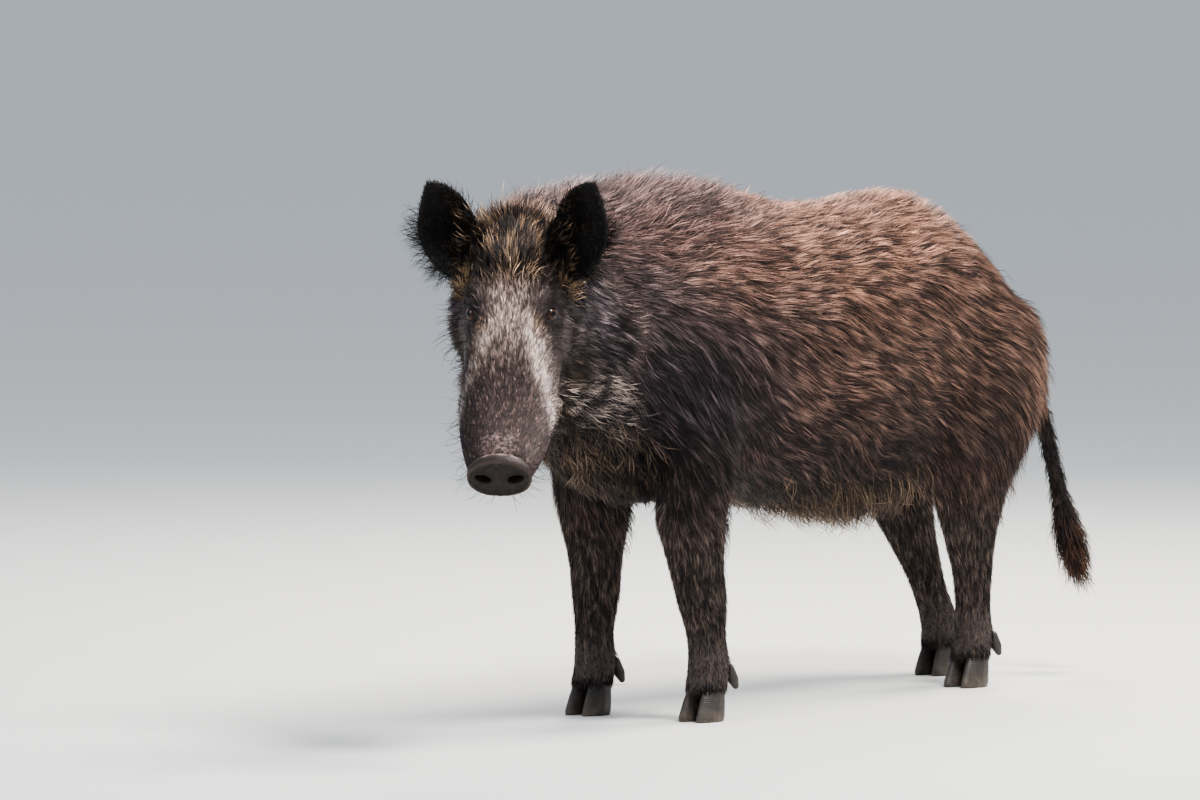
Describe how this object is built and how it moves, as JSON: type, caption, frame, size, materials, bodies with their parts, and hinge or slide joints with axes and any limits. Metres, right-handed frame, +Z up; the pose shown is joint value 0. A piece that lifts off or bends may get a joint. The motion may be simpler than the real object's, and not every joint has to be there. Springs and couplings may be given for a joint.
{
  "type": "wild boar",
  "caption": "Wild boar sow standing still with its head turned to its left: grizzled face, dark cupped ears, bristly rust-tipped coat, cloven hooves and tasselled tail.",
  "frame": {"origin": "centre of the bounding box in plan, on the floor under the soles", "axes": "+Z up, -Y the way the body faces, +X the animal's left side; the head is turned about 32 degrees towards +X"},
  "size_m": [0.3986, 1.613, 0.8023],
  "materials": {
    "coat": "bristly coat, near-black brown at the roots with rust and tan tips, paler over the neck and shoulder hump",
    "face": "short grizzled grey-brown hair, darker round the eyes and whitish at the mouth corners",
    "leg": "short near-black brown hair",
    "ear": "black-brown short hair, black inside, long hairs at the edge",
    "snout": "bare damp grey-brown skin",
    "eye": "wet, glossy, dark reddish brown",
    "hoof": "worn dark horn"
  },
  "bodies": {
    "root": {"trunk": "coat", "neck": "coat", "head": "face", "lower_jaw": "face", "snout_disc": "snout", "ear_left": "ear", "ear_right": "ear", "eye_left": "eye", "eye_right": "eye", "foreleg_left": "leg", "foreleg_right": "leg", "hindleg_left": "leg", "hindleg_right": "leg", "tail": "leg", "hoof_foreleg_left_a": "hoof", "dewclaw_foreleg_left_a": "hoof", "hoof_foreleg_left_b": "hoof", "dewclaw_foreleg_left_b": "hoof", "hoof_foreleg_right_a": "hoof", "dewclaw_foreleg_right_a": "hoof", "hoof_foreleg_right_b": "hoof", "dewclaw_foreleg_right_b": "hoof", "hoof_hindleg_left_a": "hoof", "dewclaw_hindleg_left_a": "hoof", "hoof_hindleg_left_b": "hoof", "dewclaw_hindleg_left_b": "hoof", "hoof_hindleg_right_a": "hoof", "dewclaw_hindleg_right_a": "hoof", "hoof_hindleg_right_b": "hoof", "dewclaw_hindleg_right_b": "hoof"}
  },
  "joints": []
}
